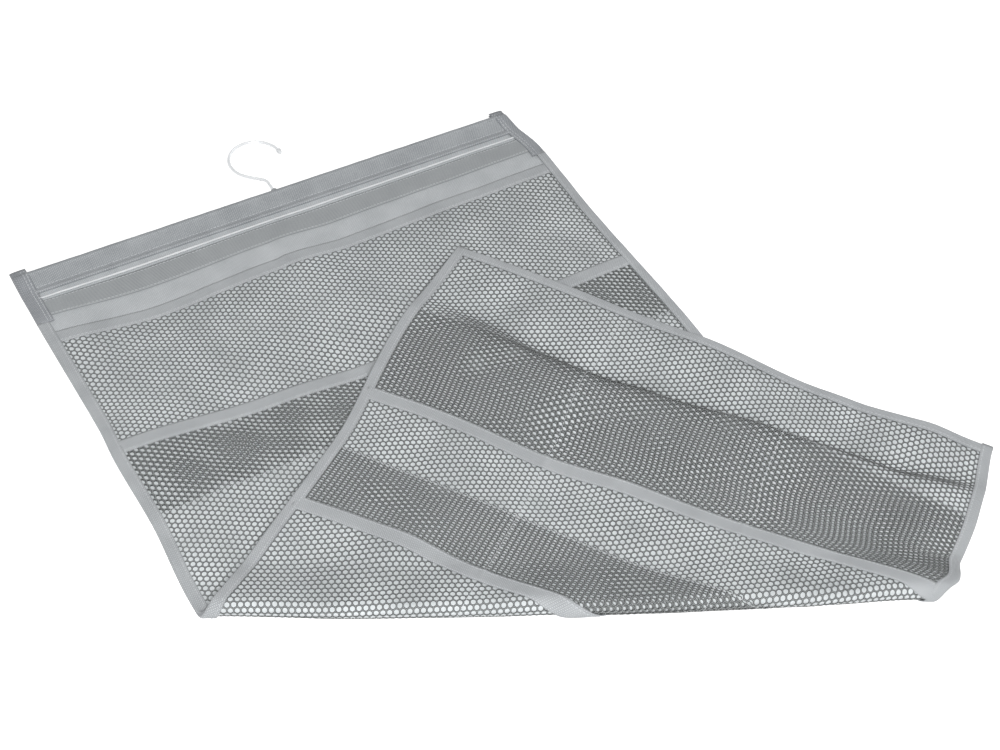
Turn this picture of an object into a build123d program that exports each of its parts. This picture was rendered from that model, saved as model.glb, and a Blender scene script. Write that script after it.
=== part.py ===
"""Hanging mesh shoe organizer, laid flat with its lower corner folded over its face.

The cloth is described in its own flat coordinates: u runs across from the left edge, and v runs down
from the top edge that holds the hook.  A diagonal fold carries everything past it over onto the front
face, so a soft piece is a flat part below the fold, a half-round bend and a flat part above it.
Row frame: X across, Y towards the hook, Z up, origin under the middle of the laid-out object.
"""
from build123d import *
from math import atan2, cos, pi, radians, sin, tan
import os

# ---- driving dimensions (mm) ----
WIDTH = 450.0              # cloth, side to side
LENGTH = 767.0             # cloth, top edge to bottom edge
FOLD_LEFT = 365.0          # fold line's distance from the top edge, at the left edge
FOLD_RIGHT = 598.0         # fold line's distance from the top edge, at the right edge
FOLD_RADIUS = 3.2          # middle panel's radius round the fold
PANEL_THICK = 0.6          # opaque middle panel that divides the two faces
MESH_THICK = 0.6           # one layer of mesh, or of the yoke's cloth
TAPE_THICK = 0.6           # one layer of edge tape
TAPE_WIDTH = 12.0          # mouth tape
BINDING_WIDTH = 9.0          # side and bottom binding
SEAM_LAP = 8.0             # a pocket's upper layer runs on past the foot seam of the one behind
SLEEVE_HEIGHT = 25.0       # sleeve that holds the bar, top edge to ridge seam
SLEEVE_DROP = 3.0            # sleeve between its ends, below the end cloths' corners
CORNER_THICK = 2.4           # end cloth folded flat at its corner
SLEEVE_THICK = 0.8         # sleeve cloth
SLEEVE_END = 13.0          # cloth folded round each end of the sleeve
END_LENGTH = 64.0          # and how far it runs down the side
YOKE_END = 86.0            # the yoke's foot, behind the first mouth tape
STRIP_TOP = 36.0           # closure tapes, upper edge
STRIP_WIDTH = 21.0
STRIP_THICK = 0.45         # each of the two closure tapes
PIPING_PLACE = 33.0        # white closure piping, from the top edge
PIPING_DIA = 1.8
MOUTH_PLACES = (76.0, 199.0, 474.0, 590.0)   # upper edge of each pocket's mouth tape
SEAM_PLACES = (270.0, 540.0, 690.0)          # foot seam of each pocket; the last one ends in the hem
ROWS_LENGTH = 681.0                          # cloth below the yoke that these places are drawn for
FRONT_DIVIDERS = (197.0,)              # stitched divider on the front face
BACK_DIVIDERS = (150.0, 300.0)         # stitched dividers on the back face
THREAD_WIDTH = 0.8
THREAD_THICK = 0.3
THREAD_LIFT = 0.02         # thread lies on the mesh without biting into it
BAR_DIA = 6.0              # hanger bar
BAR_INSET = 17.0           # bar's end to the cloth's side edge
CAP_WALL = 0.8
CAP_LENGTH = 12.0
HOOK_PLACE = 227.0         # hook's shank, from the left edge
WIRE_DIA = 2.6             # hook wire
HOOK_RADIUS = 22.5         # wire's centre line round the rail
HOOK_OFFSET = 3.0          # loop's centre, to the right of the shank
HOOK_SWEEP = 228.0         # degrees of loop, from the neck to the tip
NECK_TURN = 48.0           # degrees that the wire leans away from the shank
NECK_RADIUS = 7.0
SHANK_RISE = 11.0          # straight shank above the sleeve's edge
TIP_DIA = 4.2              # rounded cap on the hook's tip
TIP_LENGTH = 5.0
RUNNING_GAP = 0.3          # each side of the shank, and of the bar's caps
EYELET_WALL = 1.2          # stitched ring round the shank
EYELET_REACH = 0.6         # how far the ring stands out of the sleeve
WASHER_THICK = 0.5
STOP_DIA = 4.4             # head that keeps the shank in the bar
STOP_THICK = 1.2

# ---- derived places ----
ROW_SCALE = (LENGTH - YOKE_END) / ROWS_LENGTH  # rows keep their shares of the cloth
MOUTHS = tuple(YOKE_END + (place - YOKE_END) * ROW_SCALE for place in MOUTH_PLACES)
POCKET_ENDS = tuple(YOKE_END + (place - YOKE_END) * ROW_SCALE for place in SEAM_PLACES)
ANGLE = atan2(FOLD_RIGHT - FOLD_LEFT, WIDTH)
ALONG = (cos(ANGLE), sin(ANGLE))            # (u, v) along the fold
ACROSS = (-sin(ANGLE), cos(ANGLE))          # (u, v) across the fold, away from the hook
HALF_BEND = pi * FOLD_RADIUS / 2            # half the cloth that the bend takes up
FIRST = PANEL_THICK / 2 + MESH_THICK        # mid-plane to the face of a single mesh layer
SECOND = FIRST + MESH_THICK                 # and of a second layer
OUTER = SECOND + TAPE_THICK                 # and of the tapes and bindings
LOW_MID = OUTER                             # height of the lower sheet's mid-plane
SLEEVE_FOOT = OUTER                         # sleeve's outer radius where it is sewn to the yoke
CAVITY = BAR_DIA / 2 + CAP_WALL + RUNNING_GAP
SLEEVE_RADIUS = CAVITY + SLEEVE_THICK
BAR_PLACE = SLEEVE_RADIUS + SLEEVE_DROP        # bar's axis from the top edge
BAR_HEIGHT = SLEEVE_RADIUS                     # and above the floor
BIG = 2 * (WIDTH + LENGTH)


def place(u, v):
    """Place of a cloth point in the plane of the unfolded cloth."""
    return (u - WIDTH / 2, -v)


def face_of(points):
    """Flat face through cloth points."""
    return make_face(Polyline(*[place(u, v) for u, v in points], close=True))


def beyond(limit, side):
    """Face over all cloth past the bend (side 1) or on the hook's side of it (side -1)."""
    u0 = ACROSS[0] * limit
    v0 = FOLD_LEFT + ACROSS[1] * limit
    corners = []
    for along, out in ((-BIG, 0), (BIG, 0), (BIG, side * BIG), (-BIG, side * BIG)):
        corners.append((u0 + along * ALONG[0] + out * ACROSS[0], v0 + along * ALONG[1] + out * ACROSS[1]))
    return face_of(corners)


def fold_frame(across=0.0, height=0.0):
    """Plane whose X runs across the fold, Y up and Z back along it."""
    x, y = place(ACROSS[0] * across, FOLD_LEFT + ACROSS[1] * across)
    return Plane(origin=(x, y, height), x_dir=(ACROSS[0], -ACROSS[1], 0), z_dir=(-ALONG[0], ALONG[1], 0))


def mirror_plane():
    """Upright plane through the fold line."""
    x, y = place(0, FOLD_LEFT)
    return Plane(origin=(x, y, 0), x_dir=(ALONG[0], -ALONG[1], 0), z_dir=(ACROSS[0], -ACROSS[1], 0))


def raised(face, low, high):
    """Solid over a flat face, between two heights."""
    return extrude(Pos(0, 0, low) * face, amount=high - low, dir=(0, 0, 1))


def bend(start, end, low, high):
    """Half-round shell round the fold, between two places along it."""
    outer = FOLD_RADIUS - low
    inner = FOLD_RADIUS - high
    ring = Circle(outer) - Circle(inner)
    half = ring & (Pos(outer, 0) * Rectangle(2 * outer, 4 * outer))
    frame = fold_frame(-HALF_BEND, LOW_MID + FOLD_RADIUS)
    shell = extrude(frame * half, amount=-(end - start))
    return Pos(start * ALONG[0], -start * ALONG[1], 0) * shell


def folded(u1, u2, v1, v2, low, high):
    """One layer of cloth over a rectangle, from low to high off the mid-plane, folded as it lies."""
    flat = face_of([(u1, v1), (u2, v1), (u2, v2), (u1, v2)])
    pieces = []
    if min(v1 - FOLD_LEFT - u * tan(ANGLE) for u in (u1, u2)) < -HALF_BEND / ALONG[0]:
        lower = flat & beyond(-HALF_BEND, -1)
        pieces.append(raised(lower, LOW_MID + low, LOW_MID + high))
    if max(v2 - FOLD_LEFT - u * tan(ANGLE) for u in (u1, u2)) > HALF_BEND / ALONG[0]:
        upper = flat & beyond(HALF_BEND, 1)
        top = LOW_MID + 2 * FOLD_RADIUS
        pieces.append(mirror(raised(upper, top - high, top - low), about=mirror_plane()))
    first = max(u1, (v1 - FOLD_LEFT) / tan(ANGLE))
    last = min(u2, (v2 - FOLD_LEFT) / tan(ANGLE))
    if last > first:
        pieces.append(bend(first / ALONG[0], last / ALONG[0], low, high))
    whole = pieces[0]
    for piece in pieces[1:]:
        whole = whole + piece
    return whole


def layer(face_side, u1, u2, v1, v2, low, high):
    """A folded layer on the front face (1) or the back face (-1)."""
    if face_side > 0:
        return folded(u1, u2, v1, v2, low, high)
    return folded(u1, u2, v1, v2, -high, -low)


def middle_panel():
    """Opaque cloth between the two faces, from the sleeve to the hem."""
    edge = TAPE_THICK
    return folded(edge, WIDTH - edge, SLEEVE_HEIGHT, LENGTH - edge, -PANEL_THICK / 2, PANEL_THICK / 2)


def yoke(side):
    """Plain cloth between the sleeve and the first pocket."""
    return layer(side, TAPE_THICK, WIDTH - TAPE_THICK, SLEEVE_HEIGHT, YOKE_END, PANEL_THICK / 2, FIRST)


def pocket(side, row):
    """Mesh of one row of pockets, lapped over the foot of the row behind it."""
    edge = TAPE_THICK
    start = MOUTHS[row] + TAPE_WIDTH
    behind = POCKET_ENDS[row - 1] if row else YOKE_END
    foot = POCKET_ENDS[row] if row < len(POCKET_ENDS) else LENGTH - edge
    mesh = layer(side, edge, WIDTH - edge, max(start, behind), foot, PANEL_THICK / 2, FIRST)
    if behind > start:
        mesh = mesh + layer(side, edge, WIDTH - edge, start, behind + SEAM_LAP, FIRST, SECOND)
    return mesh


def mouth_tape(side, row):
    """Tape folded over the top edge of a row of pockets, between the side bindings."""
    top = MOUTHS[row]
    return layer(side, BINDING_WIDTH, WIDTH - BINDING_WIDTH, top, top + TAPE_WIDTH, FIRST, OUTER)


def side_binding(outer, inner):
    """Tape folded round one long edge, below the sleeve's end cloth."""
    low = min(outer, inner)
    high = max(outer, inner)
    web = (outer, outer + TAPE_THICK) if inner > outer else (outer - TAPE_THICK, outer)
    front = folded(low, high, END_LENGTH, LENGTH, SECOND, OUTER)
    back = folded(low, high, END_LENGTH, LENGTH, -OUTER, -SECOND)
    return front + back + folded(web[0], web[1], END_LENGTH, LENGTH, -OUTER, OUTER)


def bottom_binding():
    """Tape folded round the bottom edge, between the side bindings."""
    u1 = BINDING_WIDTH
    u2 = WIDTH - BINDING_WIDTH
    top = LENGTH - BINDING_WIDTH
    front = folded(u1, u2, top, LENGTH, SECOND, OUTER)
    back = folded(u1, u2, top, LENGTH, -OUTER, -SECOND)
    return front + back + folded(u1, u2, LENGTH - TAPE_THICK, LENGTH, -OUTER, OUTER)


def sleeve_section(radius, foot_radius):
    """Drop-shaped section of the sleeve: round at the bar, flat where it is sewn to the yoke."""
    head = Pos(-BAR_PLACE, BAR_HEIGHT) * Circle(radius)
    wall = SLEEVE_FOOT - foot_radius
    foot = Pos(-SLEEVE_HEIGHT + wall + SLEEVE_FOOT / 2, LOW_MID) * Rectangle(SLEEVE_FOOT, 2 * foot_radius)
    return make_hull(head.edges() + foot.edges())


def sleeve_run(section, start, end):
    """Section carried across the cloth from one place to another."""
    plane = Plane(origin=(start - WIDTH / 2, 0, 0), x_dir=(0, 1, 0), z_dir=(1, 0, 0))
    return extrude(plane * section, amount=end - start)


def shank_hole(radius):
    """Cylinder along the hook's shank, from the eyelet to past the stop."""
    reach = 2 * SLEEVE_HEIGHT
    return shank_tube(radius, -reach, reach)


def shank_tube(radius, start, end):
    """Cylinder round the shank's axis between two distances down from the top edge."""
    plane = Plane(origin=(HOOK_PLACE - WIDTH / 2, -end, BAR_HEIGHT), x_dir=(1, 0, 0), z_dir=(0, 1, 0))
    return extrude(plane * Circle(radius), amount=end - start)


def sleeve():
    """Cloth tube round the bar, with the shank's opening in its top edge."""
    outer = sleeve_run(sleeve_section(SLEEVE_RADIUS, SLEEVE_FOOT), SLEEVE_END, WIDTH - SLEEVE_END)
    room = sleeve_section(CAVITY, SLEEVE_FOOT - SLEEVE_THICK)
    outer = outer - sleeve_run(room, SLEEVE_END, WIDTH - SLEEVE_END)
    eyelet_radius = WIRE_DIA / 2 + RUNNING_GAP + EYELET_WALL
    return outer - shank_tube(eyelet_radius, -BAR_PLACE, BAR_PLACE)


def sleeve_end(start, end):
    """Cloth folded round one end of the sleeve, closing it, and on down the side edge."""
    corner = Pos(-SLEEVE_DROP / 2, BAR_HEIGHT) * Rectangle(SLEEVE_DROP, CORNER_THICK)
    section = make_hull(sleeve_section(SLEEVE_RADIUS, SLEEVE_FOOT).edges() + corner.edges())
    cap = sleeve_run(section, start, end)
    front = folded(start, end, SLEEVE_HEIGHT, END_LENGTH, SECOND, OUTER)
    back = folded(start, end, SLEEVE_HEIGHT, END_LENGTH, -OUTER, -SECOND)
    web = (start, start + TAPE_THICK) if start == 0 else (end - TAPE_THICK, end)
    return cap + front + back + folded(web[0], web[1], SLEEVE_HEIGHT, END_LENGTH, -OUTER, OUTER)


def closure_tape(order):
    """One of the two tapes that close the sleeve: 0 lies on the yoke and 1 on top of it."""
    low = FIRST + order * STRIP_THICK
    bottom = STRIP_TOP + STRIP_WIDTH
    return folded(SLEEVE_END, WIDTH - SLEEVE_END, STRIP_TOP, bottom, low, low + STRIP_THICK)


def piping():
    """White cord along the closure's upper edge."""
    plane = Plane(
        origin=(SLEEVE_END - WIDTH / 2, -PIPING_PLACE, LOW_MID + FIRST + PIPING_DIA / 2),
        x_dir=(0, 1, 0), z_dir=(1, 0, 0),
    )
    return extrude(plane * Circle(PIPING_DIA / 2), amount=WIDTH - 2 * SLEEVE_END)


def divider_seams(side, places):
    """Thread lines that part the rows into pockets, lying on the outermost layer."""
    rows = len(MOUTHS)
    seams = []
    for u in places:
        edges = (u - THREAD_WIDTH / 2, u + THREAD_WIDTH / 2)
        for row in range(rows):
            lap = POCKET_ENDS[row - 1] if row else YOKE_END
            start = MOUTHS[row] + TAPE_WIDTH
            end = MOUTHS[row + 1] if row + 1 < rows else LENGTH - BINDING_WIDTH
            lap_end = max(start, lap + SEAM_LAP)
            single = FIRST + THREAD_LIFT
            double = SECOND + THREAD_LIFT
            seams.append(layer(side, *edges, lap_end, end, single, single + THREAD_THICK))
            if row:
                seams.append(layer(side, *edges, start, lap_end, double, double + THREAD_THICK))
    return Compound(children=[solid for seam in seams for solid in seam.solids()])


def bar():
    """Hanger bar in the sleeve, drilled across for the hook's shank."""
    plane = Plane(origin=(BAR_INSET - WIDTH / 2, -BAR_PLACE, BAR_HEIGHT), x_dir=(0, 1, 0), z_dir=(1, 0, 0))
    rod = extrude(plane * Circle(BAR_DIA / 2), amount=WIDTH - 2 * BAR_INSET)
    return rod - shank_hole(WIRE_DIA / 2 + RUNNING_GAP)


def bar_cap(at_left):
    """Plastic cap over one end of the bar."""
    outer_end = BAR_INSET - CAP_WALL if at_left else WIDTH - BAR_INSET + CAP_WALL
    inner_end = outer_end + CAP_LENGTH if at_left else outer_end - CAP_LENGTH
    start = min(outer_end, inner_end) - WIDTH / 2
    plane = Plane(origin=(start, -BAR_PLACE, BAR_HEIGHT), x_dir=(0, 1, 0), z_dir=(1, 0, 0))
    shell = extrude(plane * Circle(BAR_DIA / 2 + CAP_WALL), amount=CAP_LENGTH)
    rod = Plane(origin=(BAR_INSET - WIDTH / 2, -BAR_PLACE, BAR_HEIGHT), x_dir=(0, 1, 0), z_dir=(1, 0, 0))
    return shell - extrude(rod * Circle(BAR_DIA / 2), amount=WIDTH - 2 * BAR_INSET)


def eyelet():
    """Stitched ring that lines the shank's opening in the sleeve."""
    bore = WIRE_DIA / 2 + RUNNING_GAP
    foot = SLEEVE_DROP + SLEEVE_THICK + RUNNING_GAP
    ring = shank_tube(bore + EYELET_WALL, SLEEVE_DROP - EYELET_REACH, foot)
    return ring - shank_tube(bore, -BAR_PLACE, BAR_PLACE)


def shank_washer():
    """Washer under the bar, between it and the shank's head."""
    top = BAR_PLACE + BAR_DIA / 2
    ring = shank_tube(STOP_DIA / 2, top, top + WASHER_THICK)
    return ring - shank_hole(WIRE_DIA / 2 + RUNNING_GAP)


def shank_end():
    """Distance from the top edge to the lower face of the shank's washer, with its play."""
    return BAR_PLACE + BAR_DIA / 2 + WASHER_THICK + RUNNING_GAP


def shank_stop():
    """Upset head on the shank's lower end."""
    return shank_tube(STOP_DIA / 2, shank_end(), shank_end() + STOP_THICK)


def hook_route():
    """Centre line of the hook's wire and its loop's centre, in the plane of the bar."""
    turn = radians(NECK_TURN)
    run = (HOOK_RADIUS * cos(turn) - HOOK_OFFSET - NECK_RADIUS * (1 - cos(turn))) / sin(turn)
    neck = (-NECK_RADIUS * (1 - cos(turn)), SHANK_RISE + NECK_RADIUS * sin(turn))
    lean = (neck[0] - run * sin(turn), neck[1] + run * cos(turn))
    centre = (HOOK_OFFSET, lean[1] + HOOK_RADIUS * sin(turn))
    shank = Line((0, -shank_end()), (0, SHANK_RISE))
    neck_arc = CenterArc((-NECK_RADIUS, SHANK_RISE), NECK_RADIUS, 0, NECK_TURN)
    leaning = Line(neck, lean)
    loop = CenterArc(centre, HOOK_RADIUS, 180 + NECK_TURN, -HOOK_SWEEP)
    return Wire([shank, neck_arc, leaning, loop]), centre


def hook_plane():
    """Plane of the hook, on the shank's axis at the sleeve's top edge."""
    return Plane(origin=(HOOK_PLACE - WIDTH / 2, 0, BAR_HEIGHT), x_dir=(1, 0, 0), z_dir=(0, 0, 1))


def hook_wire():
    """Bent wire hook, from its head under the bar to its tip."""
    route, _ = hook_route()
    path = hook_plane() * route
    section = Plane(origin=path @ 0, z_dir=path % 0) * Circle(WIRE_DIA / 2)
    return sweep(section, path=path)


def hook_tip():
    """Rounded cap on the end of the hook's wire."""
    route, _ = hook_route()
    path = hook_plane() * route
    end = Plane(origin=path @ 1, z_dir=-(path % 1))
    body = extrude(end * Circle(TIP_DIA / 2), amount=TIP_LENGTH - TIP_DIA / 2)
    dome = end * (Sphere(TIP_DIA / 2) & (Pos(0, 0, -TIP_DIA) * Box(2 * TIP_DIA, 2 * TIP_DIA, 2 * TIP_DIA)))
    return (body + dome) - hook_wire()


def all_parts():
    """Every node by name, in the cloth's own frame."""
    parts = {
        "hook_wire": hook_wire(),
        "hook_tip_cap": hook_tip(),
        "shank_stop_head": shank_stop(),
        "shank_washer": shank_washer(),
        "hanger_bar": bar(),
        "bar_end_cap_left": bar_cap(True),
        "bar_end_cap_right": bar_cap(False),
        "hook_eyelet": eyelet(),
        "sleeve": sleeve(),
        "sleeve_end_left": sleeve_end(0, SLEEVE_END),
        "sleeve_end_right": sleeve_end(WIDTH - SLEEVE_END, WIDTH),
        "closure_loop_tape": closure_tape(0),
        "closure_hook_tape": closure_tape(1),
        "closure_piping": piping(),
        "yoke_front": yoke(1),
        "yoke_back": yoke(-1),
        "middle_panel": middle_panel(),
        "side_binding_left": side_binding(0, BINDING_WIDTH),
        "side_binding_right": side_binding(WIDTH, WIDTH - BINDING_WIDTH),
        "bottom_binding": bottom_binding(),
        "front_divider_seam": divider_seams(1, FRONT_DIVIDERS),
        "back_divider_seams": divider_seams(-1, BACK_DIVIDERS),
    }
    for side, name in ((1, "front"), (-1, "back")):
        for row in range(len(MOUTHS)):
            parts[f"{name}_pocket_{row + 1}"] = pocket(side, row)
            parts[f"{name}_mouth_tape_{row + 1}"] = mouth_tape(side, row)
    return parts


def main():
    """Builds every node, moves it into the row frame and writes its STEP file."""
    os.makedirs("parts", exist_ok=True)
    parts = all_parts()
    boxes = [shape.bounding_box() for shape in parts.values()]
    x = (min(b.min.X for b in boxes) + max(b.max.X for b in boxes)) / 2
    y = (min(b.min.Y for b in boxes) + max(b.max.Y for b in boxes)) / 2
    z = min(b.min.Z for b in boxes)
    for name, shape in parts.items():
        export_step(Pos(-x, -y, -z) * shape, f"parts/{name}.step")
    _, centre = hook_route()
    hook_x = HOOK_PLACE - WIDTH / 2 - x
    print("row offset", round(x, 3), round(y, 3), round(z, 3))
    print("shank axis", round(hook_x, 3), round(-y, 3), round(BAR_HEIGHT - z, 3))
    print("loop centre", round(hook_x + centre[0], 3), round(centre[1] - y, 3), round(BAR_HEIGHT - z, 3))


if __name__ == "__main__":
    main()
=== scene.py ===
"""Looks of a hanging mesh shoe organizer that lies flat with its lower corner folded over.

Every soft piece is drawn in the cloth's own coordinates, u across from the left edge and v down from the
top edge, with a height h off the mid-plane, positive on the front face. Drape carries these points round
the diagonal fold and into the row frame. Sizes are in metres, apart from Drape's curves.
"""

import logging
import math
from dataclasses import dataclass, field
from enum import Enum
from typing import Callable

import bpy
import numpy as np
from mathutils import Matrix, Vector


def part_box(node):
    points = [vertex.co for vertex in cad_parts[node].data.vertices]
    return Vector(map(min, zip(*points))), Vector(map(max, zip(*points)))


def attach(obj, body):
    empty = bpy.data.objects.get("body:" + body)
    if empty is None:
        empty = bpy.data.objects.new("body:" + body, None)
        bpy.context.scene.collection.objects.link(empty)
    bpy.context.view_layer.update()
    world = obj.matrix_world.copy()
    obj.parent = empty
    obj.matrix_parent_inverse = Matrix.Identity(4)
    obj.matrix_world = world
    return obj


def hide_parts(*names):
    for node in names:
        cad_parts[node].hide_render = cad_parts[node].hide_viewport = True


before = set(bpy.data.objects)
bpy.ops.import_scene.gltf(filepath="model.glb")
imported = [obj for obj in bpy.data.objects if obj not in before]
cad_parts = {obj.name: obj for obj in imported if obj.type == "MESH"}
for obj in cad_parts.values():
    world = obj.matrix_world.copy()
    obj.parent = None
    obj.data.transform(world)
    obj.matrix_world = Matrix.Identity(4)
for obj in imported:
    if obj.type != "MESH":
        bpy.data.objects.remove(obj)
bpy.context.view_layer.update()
LOG = logging.getLogger("organizer")
MM = 0.001
CLOTH_UV = "cloth"
# Mesh attribute that carries the painted shade on the mesh strands' sides and in the crease.
STRAND_SHADE_ATTR = "strand_painted_shade"
Array = np.ndarray
Rise = Callable[[Array, Array], Array]
Curve = tuple[tuple[float, float], ...]
Row = tuple[tuple[float, float], tuple[float, float]]
Rgb = tuple[int, int, int]


class Face(Enum):
    """The two faces of the cloth, as the sign of h."""

    FRONT = 1
    BACK = -1

    @property
    def label(self) -> str:
        """The face's name as pieces have it."""
        return self.name.lower()


class Edge(Enum):
    """The two long edges of the cloth."""

    LEFT = "left"
    RIGHT = "right"


# ---- cloth and fold


def smooth_step(x: Array) -> Array:
    """Eases x from 0 to 1."""
    x = np.clip(x, 0.0, 1.0)
    return x * x * (3 - 2 * x)


def eased(points: Curve, x: Array) -> Array:
    """Curve with a level tangent at each of a few points.

    Args:
        points: places and values in millimetres, in rising order of place.
        x: where the curve is read.

    Returns:
        The curve's values at x.
    """
    places, values = np.array(points).T * MM
    x = np.clip(x, places[0], places[-1])
    i = np.clip(np.searchsorted(places, x, side="right") - 1, 0, len(places) - 2)
    share = smooth_step((x - places[i]) / (places[i + 1] - places[i]))
    return values[i] + (values[i + 1] - values[i]) * share


def bump_at(x: Array, place: float | Array, width: float) -> Array:
    """Bell-shaped rise of height 1 at a place."""
    return np.exp(-(((x - place) / width) ** 2))


def ripple(u: Array, v: Array, length: float, seed: int) -> Array:
    """Soft irregular waves between about -1 and 1.

    Args:
        u, v: places across and down the cloth.
        length: typical distance from crest to crest.
        seed: picks one set of directions and phases.

    Returns:
        The waves' height at each place.
    """
    total = np.zeros(np.broadcast(u, v).shape)
    rng = np.random.default_rng(seed)
    count = 5
    for _ in range(count):
        angle, phase, scale = rng.uniform(0, math.tau), rng.uniform(0, math.tau), rng.uniform(0.7, 1.5)
        k = math.tau / (length * scale)
        total = total + np.sin(k * (u * math.cos(angle) + v * math.sin(angle)) + phase)
    return total / (count * 0.6)


@dataclass(frozen=True)
class Cut:
    """The cloth's sizes before it is folded."""

    width: float
    length: float = 0.767
    fold_left: float = 0.365
    fold_right: float = 0.598
    mouths: tuple[float, ...] = (0.076, 0.199, 0.474, 0.590)
    feet: tuple[float, ...] = (0.270, 0.540, 0.690, 0.767)
    dividers: tuple[tuple[Face, tuple[float, ...]], ...] = (
        (Face.FRONT, (0.197,)), (Face.BACK, (0.150, 0.300)))
    yoke_end: float = 0.086
    tape: float = 0.012
    binding: float = 0.009
    sleeve: float = 0.025
    end_cloth: float = 0.013
    end_length: float = 0.064
    panel: float = 0.0006
    ply: float = 0.0006

    def splits(self, face: Face) -> tuple[float, ...]:
        """Divider places on one face, with the side edges."""
        return (0.0, *dict(self.dividers)[face], self.width)

    def across(self, inset: float, count: int) -> Array:
        """Stations from one side edge to the other, starting this far in."""
        return np.linspace(inset, self.width - inset, count)

    def line(self, inset: float, v: float) -> Row:
        """A row of stitches across the cloth, as its start and end."""
        return (inset, v), (self.width - inset, v)

    @property
    def single(self) -> float:
        """Height of the top of one mesh layer."""
        return self.panel / 2 + self.ply

    @property
    def double(self) -> float:
        """Height of the top of a second mesh layer."""
        return self.single + self.ply

    @property
    def outer(self) -> float:
        """Height of the tapes and bindings."""
        return self.double + self.ply


@dataclass
class Drape:
    """Carries cloth coordinates round the fold and into the row frame. Its curves are in millimetres."""

    cut: Cut
    origin: Vector
    radius: float = 0.0064
    overshoot: float = math.radians(11)
    landing: float = 0.040
    flap_rest: float = 0.0064
    left_edge: Curve = (
        (0, 0), (50, 0.5), (180, 2.6), (215, 1.2), (270, 2.4), (340, -1), (400, 1), (545, 5.5), (672, -5.2),
        (767, 0))
    right_edge: Curve = (
        (0, 0), (55, 7.8), (150, 5), (270, 6.6), (400, 2), (595, 3), (617, 10.5), (645, 6), (680, 5.5),
        (720, 4.2), (767, -0.5))
    hem: Curve = ((0, 1), (210, 0), (300, -6), (340, -4), (380, -1), (450, -1))
    mouth_shift: tuple[Curve, ...] = (
        ((0, -6), (90, 4.5), (190, -1), (204, -2.5), (250, 1.5), (350, -1), (450, -3)),
        ((0, -6), (130, 4.5), (205, 10), (300, 6), (380, 0.5), (450, -1)),
        ((0, -1), (85, 4), (150, 0), (230, 1), (350, 4), (450, 1)),
        ((0, -2), (80, 0.5), (150, -3), (220, 1.5), (370, 9), (450, 4)))
    shift_reach: float = 0.055
    crease: Curve = ((0, 690), (40, 688), (110, 681), (160, 680), (200, 685), (300, 693), (385, 702), (440, 712))
    crease_rise: Curve = ((0, 1.2), (60, 4), (160, 8), (300, 9.2), (370, 6.4), (420, 5), (450, 2))
    crease_gather: float = 0.75
    crease_far: float = 0.024
    fold_sway: Curve = ((0, 0), (100, 3.5), (280, 1.5), (400, -3), (507, -8.5))
    sway_reach: float = 0.07
    floor_ease: float = 0.0006
    crease_near: float = 0.075
    flap_down: float = 0.0016
    fall_reach: float = 0.055
    deepest: float = 0.0014
    lengths: Array = field(init=False)
    turns: Array = field(init=False)
    plans: Array = field(init=False)
    heights: Array = field(init=False)
    start: float = field(init=False)

    def __post_init__(self) -> None:
        """Works out the fold's side view: a round bend, a slope down and a soft landing."""
        self.angle = math.atan2(self.cut.fold_right - self.cut.fold_left, self.cut.width)
        bend = (math.pi + self.overshoot) * self.radius
        fall = self.radius * (1 + math.cos(self.overshoot)) - self.flap_rest
        fall -= self.landing * (1 - math.cos(self.overshoot))
        slope = fall / math.sin(self.overshoot)
        level = self.overshoot * self.landing
        marks = np.array([0.0, bend, bend + slope, bend + slope + level])
        full = math.pi + self.overshoot
        self.lengths = np.linspace(0, marks[-1], 600)
        self.turns = np.interp(self.lengths, marks, np.array([0, full, full, math.pi]))
        step = self.lengths[1]
        mid_turns = (self.turns[1:] + self.turns[:-1]) / 2
        self.plans = np.concatenate([[0], np.cumsum(np.cos(mid_turns)) * step])
        self.heights = np.concatenate([[0], np.cumsum(np.sin(mid_turns)) * step])
        self.start = -(self.plans[-1] + self.lengths[-1]) / 2

    def wander(self, u: Array, v: Array) -> tuple[Array, Array]:
        """Small drift of the cloth in its own plane.

        Args:
            u, v: places across and down the cloth.

        Returns:
            The places after the edges and mouths have drifted.
        """
        cut, share = self.cut, u / self.cut.width
        new_u = u + eased(self.left_edge, v) * (1 - share) + eased(self.right_edge, v) * share
        gather = self.crease_gather * eased(self.crease_rise, u)
        ridge = eased(self.crease, u) - gather
        start, far = cut.mouths[3] + cut.tape, ridge + self.crease_far
        before = smooth_step((v - start) / (ridge - start))
        over = smooth_step((v - ridge) / self.crease_far)
        after = smooth_step((v - far) / (cut.length - far - 8 * MM))
        drawn = gather * (before - 2 * over + after)
        new_v = v + drawn + eased(self.hem, u) * smooth_step((v - cut.feet[2]) / (cut.length - cut.feet[2]))
        for mouth, shift in zip(cut.mouths, self.mouth_shift):
            off = np.abs(v - mouth - cut.tape / 2) - cut.tape / 2
            new_v = new_v + eased(shift, u) * (1 - smooth_step(off / self.shift_reach))
        return new_u, new_v

    def ridge(self, u: Array, v: Array) -> tuple[Array, Array]:
        """Height of the crease beside a place, and how far past its ridge the place lies."""
        size = eased(self.crease_rise, u)
        return size, v - eased(self.crease, u) + self.crease_gather * size

    def drawn_in(self, u: Array, v: Array) -> Array:
        """How tightly the crease gathers the cloth at a place, from 0 to 1."""
        size, past = self.ridge(u, v)
        most, half = MM * max(rise for _, rise in self.crease_rise), self.crease_far / 2
        return size / most * bump_at(past, half, half)

    def past_fold(self, u: Array, v: Array) -> Array:
        """Share of the half turn made at a place: 0 on the lower sheet and 1 on the flap."""
        d = (v - self.cut.fold_left) * math.cos(self.angle) - u * math.sin(self.angle) - self.start
        return np.clip(np.interp(d, self.lengths, self.turns) / math.pi, 0, 1)

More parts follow.
